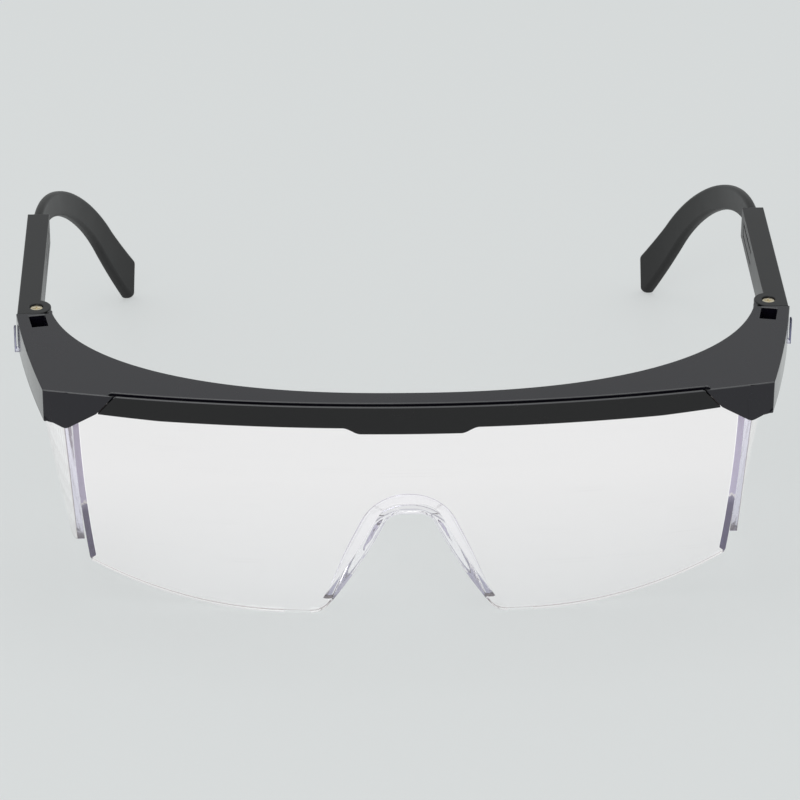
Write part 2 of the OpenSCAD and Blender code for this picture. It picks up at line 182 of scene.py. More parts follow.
def moulded_skin_group():
    """Moulded plastic: a fine even grain, slow changes of sheen from the flow of the melt,
    and sparse dust. It gives the colour, the roughness and the height of the surface."""
    tree, given, result = group_with(
        "moulded_skin", "ShaderNodeTree",
        [("Colour", "NodeSocketColor", None), ("Dust Colour", "NodeSocketColor", None),
         ("Roughness", "NodeSocketFloat", 0.4), ("Sheen Change", "NodeSocketFloat", 0.1),
         ("Grain Scale", "NodeSocketFloat", 3000.0), ("Flow Scale", "NodeSocketFloat", 90.0),
         ("Dust", "NodeSocketFloat", 0.3)],
        [("Colour", "NodeSocketColor"), ("Roughness", "NodeSocketFloat"),
         ("Height", "NodeSocketFloat")],
    )
    link = tree.links.new
    coords = add_node(tree, "ShaderNodeTexCoord", (-6, -1))
    grain = add_node(tree, "ShaderNodeTexNoise", (-5, 1), Detail=2.0, Roughness=0.6)
    flow = add_node(tree, "ShaderNodeTexNoise", (-5, 0), Detail=3.0, Distortion=0.6)
    dust = add_node(tree, "ShaderNodeTexVoronoi", (-5, -2), Scale=900.0)
    for texture in (grain, flow, dust):
        link(coords.outputs["Object"], texture.inputs["Vector"])
    link(given.outputs["Grain Scale"], grain.inputs["Scale"])
    link(given.outputs["Flow Scale"], flow.inputs["Scale"])

    # Only a few of the cells hold a speck, and each speck is small
    speck = add_node(tree, "ShaderNodeMapRange", (-4, -2), From_Min=0.09, From_Max=0.03)
    link(dust.outputs["Distance"], speck.inputs["Value"])
    sparse = add_math(tree, "GREATER_THAN", (-4, -3), dust.outputs["Color"], 0.86)
    few = add_math(tree, "MULTIPLY", (-3, -2), speck.outputs["Result"], sparse)
    amount = add_math(tree, "MULTIPLY", (-2, -2), few, given.outputs["Dust"])
    tone = add_mix(tree, "MULTIPLY", (-2, 1), 0.35, given.outputs["Colour"], flow.outputs["Fac"])
    dusty = add_mix(tree, "MIX", (-1, 1), amount, tone, given.outputs["Dust Colour"])
    centred = add_math(tree, "SUBTRACT", (-2, 0), flow.outputs["Fac"], 0.5)
    sheen = add_math(tree, "MULTIPLY_ADD", (-1, 0), centred, given.outputs["Sheen Change"],
                     given.outputs["Roughness"])
    link(dusty, result.inputs["Colour"])
    link(sheen, result.inputs["Roughness"])
    link(grain.outputs["Fac"], result.inputs["Height"])
    return tree


moulded_skin = moulded_skin_group()


def moulded_plastic(name, colour, roughness, ior, grain_depth):
    """Black moulded nylon with its own colour, sheen and depth of grain."""
    finish = bpy.data.materials.new(name)
    finish.use_nodes = True
    tree = finish.node_tree
    shader = tree.nodes["Principled BSDF"]
    skin = tree.nodes.new("ShaderNodeGroup")
    skin.node_tree = moulded_skin
    skin.inputs["Colour"].default_value = (*colour, 1)
    skin.inputs["Dust Colour"].default_value = (0.20, 0.20, 0.21, 1)
    skin.inputs["Roughness"].default_value = roughness
    relief = tree.nodes.new("ShaderNodeBump")
    relief.inputs["Strength"].default_value = 0.5
    relief.inputs["Distance"].default_value = grain_depth
    tree.links.new(skin.outputs["Colour"], shader.inputs["Base Color"])
    tree.links.new(skin.outputs["Roughness"], shader.inputs["Roughness"])
    tree.links.new(skin.outputs["Height"], relief.inputs["Height"])
    tree.links.new(relief.outputs["Normal"], shader.inputs["Normal"])
    shader.inputs["IOR"].default_value = ior
    return finish


def as_piece(name, mesh):
    """A new object that shows a mesh, at the origin."""
    piece = bpy.data.objects.new(name, mesh)
    bpy.context.scene.collection.objects.link(piece)
    return piece


def settled(piece):
    """Turns a piece's modifiers into a plain mesh."""
    seen = piece.evaluated_get(bpy.context.evaluated_depsgraph_get())
    plain = bpy.data.meshes.new_from_object(seen)
    piece.modifiers.clear()
    piece.data = plain
    plain.name = piece.name
    return piece


def softened(piece, edge, steps=3, least_angle=28.0):
    """Rounds the sharp edges of a piece by a radius. A point that the rounding throws
    further off than that, in a crowded corner, is put back on the surface."""
    sharp = BVHTree.FromPolygons([v.co for v in piece.data.vertices],
                                 [face.vertices[:] for face in piece.data.polygons])
    rounding = piece.modifiers.new("rounded_edges", "BEVEL")
    rounding.width = edge
    rounding.segments = steps
    rounding.limit_method = "ANGLE"
    rounding.angle_limit = math.radians(least_angle)
    rounding.use_clamp_overlap = False
    settled(piece)
    for vertex in piece.data.vertices:
        spot, _, _, gap = sharp.find_nearest(vertex.co)
        if gap > edge:
            vertex.co = spot
    return piece


def shaded(piece):
    """Shades a piece smoothly, with its large faces flat and its tight corners crisp."""
    piece.data.shade_smooth()
    piece.data.set_sharp_from_angle(angle=math.radians(50))
    flatten = piece.modifiers.new("flat_faces", "WEIGHTED_NORMAL")
    flatten.keep_sharp = True
    return settled(piece)


def cut_in_strips(solid, step, axis=0):
    """Cuts a mesh across every so often, so that it can bend or be rounded evenly."""
    places = [v.co[axis] for v in solid.verts]
    start, length = min(places), max(places) - min(places)
    count = round(length / step)
    normal = Vector((0, 0, 0))
    normal[axis] = 1.0
    for i in range(1, count):
        everything = solid.verts[:] + solid.edges[:] + solid.faces[:]
        bmesh.ops.bisect_plane(solid, geom=everything, dist=5e-6,
                               plane_co=normal * (start + length * i / count), plane_no=normal)


def merged_copy(node, step, axis=0):
    """A copy of a CAD piece's mesh with its loose triangles joined into whole strips."""
    solid = bmesh.new()
    solid.from_mesh(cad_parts[node].data)
    bmesh.ops.remove_doubles(solid, verts=solid.verts, dist=2e-6)
    bmesh.ops.dissolve_degenerate(solid, edges=solid.edges, dist=2e-5)
    bmesh.ops.dissolve_limit(solid, angle_limit=math.radians(0.08), verts=solid.verts,
                             edges=solid.edges)
    cut_in_strips(solid, step, axis)
    mesh = bpy.data.meshes.new(node + "_whole")
    solid.to_mesh(mesh)
    solid.free()
    mesh.materials.clear()
    return mesh


def paint_front_edge_highlight(piece):
    """Gives a piece's upper front edges a paler colour: a painted highlight along them."""
    piece.data.materials.append(rubbed_edge)
    for face in piece.data.polygons:
        slanted = face.normal.z > 0.25 and face.normal.y < -0.25
        if slanted and face.center.z > top - edge_highlight_depth:
            face.material_index = 1


def gloss_walls_with_painted_sheen(piece):
    """Gives the outer faces of the frame's side walls their glossier finish, whose lighter colour
    is a painted sheen.
    """
    piece.data.materials.append(wall_nylon)
    for face in piece.data.polygons:
        outwards = face.normal.x * face.center.x > 0 and abs(face.normal.x) > 0.75
        on_wall = abs(face.center.x) > wall_from and face.center.z < top - plate_edge_depth
        if outwards and on_wall:
            face.material_index = 2


strip_length = 2.9 * MM
mould_edge = 0.2 * MM
edge_highlight_depth = 0.45 * MM
wall_from = 72 * MM
plate_edge_depth = 3 * MM
# A paler copy of the nylon: a painted highlight for the upper front edges.
rubbed_edge = moulded_plastic("rubbed_edge", (0.10, 0.10, 0.105), 0.22, 1.5, 0.003 * MM)
frame_nylon = moulded_plastic("frame_nylon", (0.006, 0.005, 0.0105), 0.26, 1.5, 0.006 * MM)
# A glossier copy of the nylon, with a raised IOR, whose lighter colour is a painted sheen.
wall_nylon = moulded_plastic("wall_nylon", (0.05, 0.05, 0.05), 0.15, 1.85, 0.006 * MM)
brow = as_piece("brow_frame_moulding", merged_copy("brow_frame", strip_length))
shaded(softened(brow, mould_edge))
brow.data.materials.append(frame_nylon)
# Painted highlight along the upper front edges.
paint_front_edge_highlight(brow)
# Painted sheen on the outer side walls.
gloss_walls_with_painted_sheen(brow)
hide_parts("brow_frame")
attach(brow, "front")


# ---- Lens and nose bridge ----------------------------------------------------------------
# One clear polycarbonate moulding: a sheet that curves round the brow, with a notch for
# the nose. An arched flange reaches back from the notch to rest on the nose, and the two
# side edges are cut at a slant.

front_radius = 300 * MM
lens_set_back = 1.32 * MM
lens_t = 2.1 * MM
lens_top_z = top - 2.32 * MM
lens_top_half = 66.8 * MM
lens_low_half = 63.6 * MM
side_bow = 0.6 * MM
side_slant = 1.5 * MM
foot_out = 25 * MM
low_radius = 85 * MM
foot_r = 4.5 * MM

nose_corner = Vector((1.7 * MM, 19.4 * MM))
nose_corner_r = 3.6 * MM
nose_side_r = 115 * MM
nose_angle = math.radians(25)
flange_t = 1.5 * MM
flange_foot_z = 2.8 * MM
arch_centre_z = 13.2 * MM
arch_r = 9.4 * MM
arch_rim = 1.1 * MM
line_width = 0.6 * MM
polished_edge = 0.25 * MM
bend_step = 1.6 * MM


def arc(centre, radius, start, end, count):
    """Points of a circular arc between two angles, both ends included."""
    return [Vector((centre[0] + radius * math.cos(start + (end - start) * i / count),
                    centre[1] + radius * math.sin(start + (end - start) * i / count)))
            for i in range(count + 1)]


# The sides of the notch are shallow curves round this point
toward_side = Vector((math.cos(nose_angle), math.sin(nose_angle)))
nose_side_centre = nose_corner + (nose_corner_r + nose_side_r) * toward_side


def notch_right(grow, low):
    """The right half of the notch, grown by a distance, from a low level to its middle."""
    radius = nose_side_r - grow
    low_angle = math.asin((nose_side_centre.y - low) / radius)
    side = arc(nose_side_centre, radius, math.pi + low_angle, math.pi + nose_angle, 14)
    corner = arc(nose_corner, nose_corner_r + grow, nose_angle, math.pi / 2, 14)
    return side[:-1] + corner + [Vector((0, corner[-1].y))]


def arch_right(radius, low):
    """The right half of the flange's rounder back edge, with as many points."""
    curve = arc((0, arch_centre_z), radius, nose_angle, math.pi / 2, 15)
    start = curve[0]
    foot = Vector((start.x + (start.y - low) * math.tan(nose_angle), low))
    return [foot.lerp(start, i / 14) for i in range(14)] + curve


def flange_back(z):
    """How far the flange reaches back at a height: less towards its lower ends."""
    share = min(1.0, (z - flange_foot_z) / (11 * MM))
    return 4.2 * MM + 3.8 * MM * math.sin(share * math.pi / 2)


def lens_right():
    """The right half of the lens's outline, from the nose notch round to its top."""
    foot_angle = math.asin((nose_side_centre.y - foot_r) / (nose_side_r - foot_r))
    foot_in = nose_side_centre.x - (nose_side_r - foot_r) * math.cos(foot_angle)
    corner = arc((foot_in, foot_r), foot_r, math.pi + foot_angle, 1.5 * math.pi, 10)
    sweep = math.asin((lens_low_half - foot_out) / low_radius)
    low_edge = arc((foot_out, low_radius), low_radius, -math.pi / 2, sweep - math.pi / 2, 16)
    side_low = Vector((lens_low_half + 0.5 * MM, low_edge[-1].y + 0.8 * MM))
    side_top = Vector((lens_top_half, lens_top_z))
    bows = [side_bow * 4 * t * (1 - t) for t in (i / 12 for i in range(13))]
    side = [side_low.lerp(side_top, i / 12) + Vector((bow, 0)) for i, bow in enumerate(bows)]
    return corner + low_edge, side


def both(right_half):
    """An outline's right half and its mirror image, as one run from right to left."""
    return right_half + [Vector((-p.x, p.y)) for p in reversed(right_half) if p.x > 1e-9]


def lens_solid():
    """The closed solid of the lens and its flange, before it is bent round the brow."""
    solid = bmesh.new()

    def row(points, y):
        return [solid.verts.new((p.x, y(p) if callable(y) else y, p.y)) for p in points]

    lower, side = lens_right()
    back_side = [p - Vector((side_slant, 0)) for p in side]
    rim_front = row(both(lower + side), 0.0)
    rim_back = row(both(lower + back_side), lens_t)

    notch = both(notch_right(0.0, flange_foot_z))
    arch = both(arch_right(arch_r, flange_foot_z))
    arch_out = both(arch_right(arch_r + arch_rim, flange_foot_z))
    root = both(notch_right(flange_t, flange_foot_z))
    inner = [row(notch, 0.0), row(notch, lens_t)]
    for step in (0.1, 0.25, 0.4, 0.55, 0.7, 0.85, 1.0):
        ease = step * step * (3 - 2 * step)
        ring = [p.lerp(q, ease) for p, q in zip(notch, arch)]
        inner.append([solid.verts.new((p.x, lens_t + (flange_back(p.y) - lens_t) * step, p.y))
                      for p in ring])
    line_in = [p.lerp(q, 0.1) for p, q in zip(arch_out, root)]
    outer = [row(arch_out, lambda p: flange_back(p.y)),
             row(line_in, lambda p: flange_back(p.y) - line_width), row(root, lens_t)]

    rings = inner + outer
    for near, far in zip(rings, rings[1:]):
        for i in range(len(notch) - 1):
            solid.faces.new([near[i], near[i + 1], far[i + 1], far[i]])
    for i in range(len(rim_front) - 1):
        solid.faces.new([rim_front[i], rim_front[i + 1], rim_back[i + 1], rim_back[i]])
    for end, side_end in ((0, 0), (-1, -1)):
        solid.faces.new([rim_front[side_end], inner[0][end], inner[1][end], rim_back[side_end]])
        solid.faces.new([ring[end] for ring in rings[1:]])
    solid.faces.new(rim_front + list(reversed(inner[0])))
    solid.faces.new(rim_back + [inner[1][-1]] + list(reversed(outer[-1])) + [inner[1][0]])
    bmesh.ops.recalc_face_normals(solid, faces=solid.faces)
    return solid


def bend_tree():
    """Geometry nodes that bend a straight solid back along the curve across the brow."""
    tree, given, result = group_with(
        "follow_the_brow", "GeometryNodeTree",
        [("Geometry", "NodeSocketGeometry", None), ("Radius", "NodeSocketFloat", 0.3),
         ("Set Back", "NodeSocketFloat", 0.0), ("Finish", "NodeSocketMaterial", None)],
        [("Geometry", "NodeSocketGeometry")],
    )
    link = tree.links.new
    place = add_node(tree, "GeometryNodeInputPosition", (-6, 0))
    parts = add_node(tree, "ShaderNodeSeparateXYZ", (-5, 0))
    square = add_math(tree, "MULTIPLY", (-4, 0), parts.outputs["X"], parts.outputs["X"])
    across = add_math(tree, "MULTIPLY", (-4, -1), given.outputs["Radius"], 2.0)
    sag = add_math(tree, "DIVIDE", (-3, 0), square, across)
    total = add_math(tree, "ADD", (-2, 0), sag, given.outputs["Set Back"])
    offset = add_node(tree, "ShaderNodeCombineXYZ", (-1, 0))
    move = add_node(tree, "GeometryNodeSetPosition", (0, 0))
    whole = add_node(tree, "GeometryNodeRealizeInstances", (1, 0))
    paint = add_node(tree, "GeometryNodeSetMaterial", (2, 0))
    link(place.outputs["Position"], parts.inputs["Vector"])
    link(total, offset.inputs["Y"])
    link(given.outputs["Geometry"], move.inputs["Geometry"])
    link(offset.outputs["Vector"], move.inputs["Offset"])
    link(move.outputs["Geometry"], whole.inputs["Geometry"])
    link(whole.outputs["Geometry"], paint.inputs["Geometry"])
    link(given.outputs["Finish"], paint.inputs["Material"])
    link(paint.outputs["Geometry"], result.inputs["Geometry"])
    return tree


def grown(piece, tree, **values):
    """Runs a geometry tree on a piece, with its inputs set by name."""
    growth = piece.modifiers.new(tree.name, "NODES")
    growth.node_group = tree
    for item in tree.interface.items_tree:
        label = item.name.replace(" ", "_")
        if item.in_out == "INPUT" and label in values:
            growth[item.identifier] = values[label]
    return settled(piece)


def hairline_group():
    """Wiping marks on a polished surface: short hairlines in two directions. It gives the
    colour, the roughness, and a faint painted glow that fades towards the table."""
    tree, given, result = group_with(
        "hairlines", "ShaderNodeTree",
        [("Colour", "NodeSocketColor", None), ("Line Colour", "NodeSocketColor", None),
         ("Roughness", "NodeSocketFloat", 0.02), ("Depth", "NodeSocketFloat", 0.1),
         ("Scale", "NodeSocketFloat", 60.0), ("Amount", "NodeSocketFloat", 0.25),
         ("Glow Colour", "NodeSocketColor", None)],
        [("Colour", "NodeSocketColor"), ("Roughness", "NodeSocketFloat"),
         ("Glow", "NodeSocketColor")],
    )
    link = tree.links.new
    coords = add_node(tree, "ShaderNodeTexCoord", (-7, 0))
    masks = []
    for row, turn, stretch in ((1, 0.5, 40.0), (0, -0.9, 55.0)):
        lay = add_node(tree, "ShaderNodeMapping", (-5, row), Rotation=(0.2, turn, 0.1),
                       Scale=(1.0, 1.0, stretch))
        streak = add_node(tree, "ShaderNodeTexNoise", (-4, row), Detail=1.0)
        thin = add_node(tree, "ShaderNodeMapRange", (-3, row), From_Min=0.70, From_Max=0.74)
        link(coords.outputs["Object"], lay.inputs["Vector"])
        link(lay.outputs["Vector"], streak.inputs["Vector"])
        link(given.outputs["Scale"], streak.inputs["Scale"])
        link(streak.outputs["Fac"], thin.inputs["Value"])
        masks.append(thin.outputs["Result"])
    either = add_math(tree, "MAXIMUM", (-2, 1), masks[0], masks[1])
    lines = add_math(tree, "MULTIPLY", (-1, 1), either, given.outputs["Amount"])
    tone = add_mix(tree, "MIX", (0, 1), lines, given.outputs["Colour"],
                   given.outputs["Line Colour"])
    rough = add_math(tree, "MULTIPLY_ADD", (0, 0), lines, given.outputs["Depth"],
                     given.outputs["Roughness"])
    parts = add_node(tree, "ShaderNodeSeparateXYZ", (-3, -1))
    fade = add_node(tree, "ShaderNodeMapRange", (-2, -1), From_Min=2 * MM, From_Max=30 * MM,
                    To_Min=0.35)
    painted_glow = add_mix(tree, "MULTIPLY", (0, -1), 1.0, given.outputs["Glow Colour"],
                   fade.outputs["Result"])
    link(coords.outputs["Object"], parts.inputs["Vector"])
    link(parts.outputs["Z"], fade.inputs["Value"])
    link(tone, result.inputs["Colour"])
    link(rough, result.inputs["Roughness"])
    link(painted_glow, result.inputs["Glow"])
    return tree


def open_to_lamps(tree, shader, tint):
    """Lets lamps shine through clear plastic, so that it casts next to no shadow."""
    clear = add_node(tree, "ShaderNodeBsdfTransparent", (1, -3), Color=(*tint, 1))
    rays = add_node(tree, "ShaderNodeLightPath", (1, 2))
    choose = add_node(tree, "ShaderNodeMixShader", (3, 0))
    tree.links.new(rays.outputs["Is Shadow Ray"], choose.inputs[0])
    tree.links.new(shader.outputs["BSDF"], choose.inputs[1])
    tree.links.new(clear.outputs["BSDF"], choose.inputs[2])
    tree.links.new(choose.outputs["Shader"], tree.nodes["Material Output"].inputs["Surface"])


def clear_plastic(name, tint, roughness, scratch, painted_glow, painted_glow_colour=(1.0, 0.85, 0.84)):
    """Clear polycarbonate with fine hairlines and a faint painted glow, an emission that stands in
    for studio light.
    """
    finish = bpy.data.materials.new(name)
    finish.use_nodes = True
    tree = finish.node_tree
    shader = tree.nodes["Principled BSDF"]
    shader.inputs["IOR"].default_value = 1.585
    shader.inputs["Transmission Weight"].default_value = 1.0
    shader.inputs["Emission Strength"].default_value = painted_glow
    marks = tree.nodes.new("ShaderNodeGroup")
    marks.node_tree = hairlines
    marks.inputs["Colour"].default_value = (*tint, 1)
    marks.inputs["Line Colour"].default_value = (*[0.9 * c for c in tint], 1)
    marks.inputs["Roughness"].default_value = roughness
    marks.inputs["Depth"].default_value = scratch
    marks.inputs["Glow Colour"].default_value = (*painted_glow_colour, 1)
    tree.links.new(marks.outputs["Glow"], shader.inputs["Emission Color"])
    tree.links.new(marks.outputs["Colour"], shader.inputs["Base Color"])
    tree.links.new(marks.outputs["Roughness"], shader.inputs["Roughness"])
    open_to_lamps(tree, shader, (0.95, 0.95, 0.96))
    return finish


def cut_edge_plastic():
    """The slanted side edge: lavender where it catches the studio, dark and scuffed lower
    down where it doesn't."""
    finish = bpy.data.materials.new("lens_cut_edge")
    finish.use_nodes = True
    tree = finish.node_tree
    link = tree.links.new
    shader = tree.nodes["Principled BSDF"]
    shader.inputs["IOR"].default_value = 1.585
    coords = add_node(tree, "ShaderNodeTexCoord", (-8, 0))
    parts = add_node(tree, "ShaderNodeSeparateXYZ", (-7, 1))
    blot = add_node(tree, "ShaderNodeTexNoise", (-7, -1), Scale=900.0, Detail=3.0)
    wander = add_math(tree, "MULTIPLY_ADD", (-6, 0), blot.outputs["Fac"], 2.4 * MM,
                      parts.outputs["Z"])
    share = add_node(tree, "ShaderNodeMapRange", (-5, 0), From_Min=21.5 * MM, From_Max=24.5 * MM)
    # The ramp paints light and shade on the cut edge: dark low down, a white painted highlight, and
    # lavender where the edge catches the studio.
    tones = add_node(tree, "ShaderNodeValToRGB", (-4, 0))
    for place, colour in ((0.0, (0.11, 0.11, 0.21, 1)), (0.5, (0.26, 0.27, 0.40, 1)),
                          (0.62, (1.0, 1.0, 1.0, 1)), (0.75, (0.60, 0.58, 0.78, 1))):
        stop = tones.color_ramp.elements.new(place)
        stop.color = colour
    tones.color_ramp.elements.remove(tones.color_ramp.elements[-1])
    tones.color_ramp.elements.remove(tones.color_ramp.elements[0])
    marks = tree.nodes.new("ShaderNodeGroup")
    marks.node_tree = hairlines
    marks.inputs["Line Colour"].default_value = (0.42, 0.40, 0.52, 1)
    marks.inputs["Roughness"].default_value = 0.18
    marks.inputs["Scale"].default_value = 700.0
    marks.inputs["Amount"].default_value = 0.7
    link(coords.outputs["Object"], parts.inputs["Vector"])
    link(coords.outputs["Object"], blot.inputs["Vector"])
    link(wander, share.inputs["Value"])
    link(share.outputs["Result"], tones.inputs["Fac"])
    link(tones.outputs["Color"], marks.inputs["Colour"])
    link(marks.outputs["Colour"], shader.inputs["Base Color"])
    link(marks.outputs["Roughness"], shader.inputs["Roughness"])
    open_to_lamps(tree, shader, (0.8, 0.8, 0.85))
    return finish


hairlines = hairline_group()
follow_the_brow = bend_tree()
# Each clear finish carries a faint painted glow, an emission that stands in for studio light.
lens_clear = clear_plastic("lens_clear", (0.985, 0.985, 0.99), 0.0, 0.2, 0.08)
lens_cut_edge = cut_edge_plastic()
# The rim's strong white glow is a painted highlight along the lens's edges.
lens_rim = clear_plastic("lens_rim", (0.98, 0.98, 0.98), 0.12, 0.3, 0.3, (1.0, 1.0, 1.0))
flange_clear = clear_plastic("flange_clear", (0.97, 0.97, 0.985), 0.0, 0.2, 0.05,
                             (0.9, 0.88, 1.0))
# Tinted dark lavender: a painted line of light along the flange's back edge.
flange_line = clear_plastic("flange_line", (0.25, 0.24, 0.38), 0.15, 0.2, 0.0)


def lens_face_kind(face):
    """Which finish a face of the straight lens takes: 0 clear, 1 cut side edge, 2 polished
    rim with a painted white glow as its highlight, 3 flange, 4 the painted dark lavender
    line of light along the flange's outer back edge."""
    place, way = face.center, face.normal
    in_notch = abs(place.x) < 20 * MM and 2.2 * MM < place.z < 26 * MM
    if abs(place.x) > lens_low_half - 2 * MM and abs(way.x) > 0.55:
        return 1
    if in_notch and place.y > lens_t + 0.5 * MM:
        outwards = way.x * place.x + way.z * (place.z - arch_centre_z)
        at_back = place.y > flange_back(place.z) - line_width
        return 4 if at_back and outwards > 2 * MM else 3
    if abs(way.y) < 0.9:
        return 3 if in_notch else 2
    return 0


def cut_mesh_in_strips(mesh, step):
    """Cuts a mesh across in strips, in place."""
    solid = bmesh.new()
    solid.from_mesh(mesh)
    cut_in_strips(solid, step)
    solid.to_mesh(mesh)
    solid.free()


lens_mesh = bpy.data.meshes.new("lens_sheet")
straight_lens = lens_solid()
straight_lens.to_mesh(lens_mesh)
straight_lens.free()
lens = softened(as_piece("lens_moulding", lens_mesh), polished_edge)
cut_mesh_in_strips(lens.data, bend_step)
shaded(lens)

# The shading is worked out on the straight lens, and then bent with it
bent_normals = []
for face in lens.data.polygons:
    for corner in face.loop_indices:
        x = lens.data.vertices[lens.data.loops[corner].vertex_index].co.x
        normal = lens.data.corner_normals[corner].vector
        bent = Vector((normal.x - normal.y * x / front_radius, normal.y, normal.z))
        bent_normals.append(bent.normalized())
finish_of = [lens_face_kind(face) for face in lens.data.polygons]
grown(lens, follow_the_brow, Radius=front_radius, Set_Back=front + lens_set_back, Finish=lens_clear)
lens.data.normals_split_custom_set(bent_normals)
for finish in (lens_cut_edge, lens_rim, flange_clear, flange_line):
    lens.data.materials.append(finish)
for face, kind in zip(lens.data.polygons, finish_of):
    face.material_index = kind
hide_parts("lens")
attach(lens, "front")


# ---- Brow band ---------------------------------------------------------------------------
# A separate strip of black nylon that closes the front between the two end caps and holds
# the lens. It is deeper in the middle, and a groove runs along its top behind a thin lip.

band_nylon = moulded_plastic("band_nylon", (0.003, 0.0026, 0.0032), 0.26, 1.45, 0.005 * MM)
band = as_piece("brow_band_strip", merged_copy("brow_band", strip_length))
shaded(softened(band, mould_edge))
band.data.materials.append(band_nylon)
# Painted highlight along the band's upper front edges.
paint_front_edge_highlight(band)
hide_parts("brow_band")
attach(band, "front")


# ---- Side shields ------------------------------------------------------------------------
# Clear polycarbonate panels that close the sides. Each leans in towards the cheek and is
# held by a lug in a socket of the frame and a hook round the frame's lower edge.

# Each shield finish carries a faint painted glow; on the rims it is a painted highlight.
shield_clear = clear_plastic("shield_clear", (0.98, 0.98, 0.985), 0.01, 0.25, 0.07,
                             (1.0, 0.92, 0.92))
shield_rim = clear_plastic("shield_rim", (0.97, 0.965, 1.0), 0.1, 0.3, 0.08, (0.95, 0.94, 1.0))
# The clear hook is tinted dark navy as painted shade, and the front ends a darker lavender as
# painted shade that dims the light they carry.
hook_clear = clear_plastic("hook_clear", (0.10, 0.10, 0.20), 0.05, 0.25, 0.0)
shield_end = clear_plastic("shield_end", (0.60, 0.59, 0.72), 0.08, 0.3, 0.0)
hook_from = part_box("brow_frame")[1].x
for side in ("left", "right"):
    panel = merged_copy("side_shield_" + side, strip_length, axis=1)
    shield = as_piece("side_shield_panel_" + side, panel)
    shaded(softened(shield, 0.15 * MM))
    for finish in (shield_clear, shield_rim, hook_clear, shield_end):
        shield.data.materials.append(finish)
    for face in shield.data.polygons:
        on_rim = abs(face.normal.x) < 0.6
        if abs(face.center.x) > hook_from:
            face.material_index = 2
        elif on_rim:
            face.material_index = 1 if face.normal.y > -0.5 else 3
    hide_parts("side_shield_" + side)
    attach(shield, "front")


# ---- Temple sleeves ----------------------------------------------------------------------
# Hollow black nylon bars. Each has two round ears at the front that take the hinge screw,
# and a channel at the back that the ear piece slides in.

temple_nylon = moulded_plastic("temple_nylon", (0.004, 0.004, 0.0055), 0.30, 1.45, 0.007 * MM)
for side in ("left", "right"):
    bar = merged_copy("temple_sleeve_" + side, 5 * MM, axis=1)
    sleeve = as_piece("temple_sleeve_bar_" + side, bar)
    shaded(softened(sleeve, 0.22 * MM))
    sleeve.data.materials.append(temple_nylon)
    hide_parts("temple_sleeve_" + side)
    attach(sleeve, "temple_" + side)


# ---- Ear pieces --------------------------------------------------------------------------
# Straps of softer black nylon that bend down behind the ear and in behind the head, with
# click grooves across the inner face of the part that slides in the sleeve.

strap_t = 2.0 * MM
strap_h = 5.5 * MM
drop_r = 53 * MM
drop_angle = math.radians(59)
inward_r = 108 * MM
tip_low_r = 1.0 * MM
tip_back_r = 2.2 * MM
tip_cut = 6.4 * MM
tip_flare = 0.7 * MM
strap_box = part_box("ear_piece_left")
strap_outside = strap_box[1].x
strap_start = strap_box[0].y
strap_z = strap_box[1].z - strap_h / 2
inward_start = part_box("temple_sleeve_left")[1].y - 3 * MM


def strap_outline():
    """The strap seen from the side, in Y and Z: level, bent down, and ended between two
    rounded corners."""
    half = strap_h / 2
    leg_z = strap_z - drop_r * (1 - math.cos(drop_angle))
    down, level = math.sin(drop_angle), math.cos(drop_angle)
    leg_low = (leg_z - (half - tip_low_r) * level - tip_low_r) / down
    leg_back = leg_low - tip_cut
    back_across = half + tip_flare - tip_back_r
    reach = max(leg_low * level - (half - tip_low_r) * down + tip_low_r,
                leg_back * level + back_across * down + tip_back_r)
    bend_y = strap_box[1].y - drop_r * down - reach

    def on_leg(along, across):
        return Vector((bend_y + drop_r * down + along * level + across * down,
                       leg_z - along * down + across * level))

    centre = (bend_y, strap_z - drop_r)
    low_corner = on_leg(leg_low, tip_low_r - half)
    back_corner = on_leg(leg_back, back_across)
    between = back_corner - low_corner
    turn = math.acos((tip_low_r - tip_back_r) / between.length)
    facing = math.atan2(between.y, between.x) - turn
    quarter = math.pi / 2
    return (
        [Vector((strap_start, strap_z - half))]
        + arc(centre, drop_r - half, quarter, quarter - drop_angle, 28)
        + arc(low_corner, tip_low_r, -quarter - drop_angle, facing, 10)
        + arc(back_corner, tip_back_r, facing, quarter - drop_angle, 12)
        + arc(centre, drop_r + half, quarter - drop_angle, quarter, 28)
        + [Vector((strap_start, strap_z + half))]
    )


def strap_face_x(y, radius):
    """X of a face of the strap at a Y: straight in the sleeve, then curving inwards."""
    past = max(0.0, y - inward_start)
    return strap_outside - inward_r + math.sqrt(radius ** 2 - past ** 2)


def strap_mesh(name, sign):
    """The strap's side outline given its thickness between the two curved faces."""
    flat = bmesh.new()
    flat.faces.new([flat.verts.new((0, p.x, p.y)) for p in strap_outline()])
    cut_in_strips(flat, 1.8 * MM, axis=1)
    solid = bmesh.new()
    faces = []
    for radius in (inward_r, inward_r - strap_t):
        faces.append({v: solid.verts.new((sign * strap_face_x(v.co.y, radius), v.co.y, v.co.z))
                      for v in flat.verts})
    for face in flat.faces:
        for twins in faces:
            solid.faces.new([twins[v] for v in face.verts])
    for edge in flat.edges:
        if len(edge.link_faces) == 1:
            a, b = edge.verts
            solid.faces.new([faces[0][a], faces[0][b], faces[1][b], faces[1][a]])
    bmesh.ops.recalc_face_normals(solid, faces=solid.faces)
    mesh = bpy.data.meshes.new(name)
    solid.to_mesh(mesh)
    solid.free()
    flat.free()
    return mesh


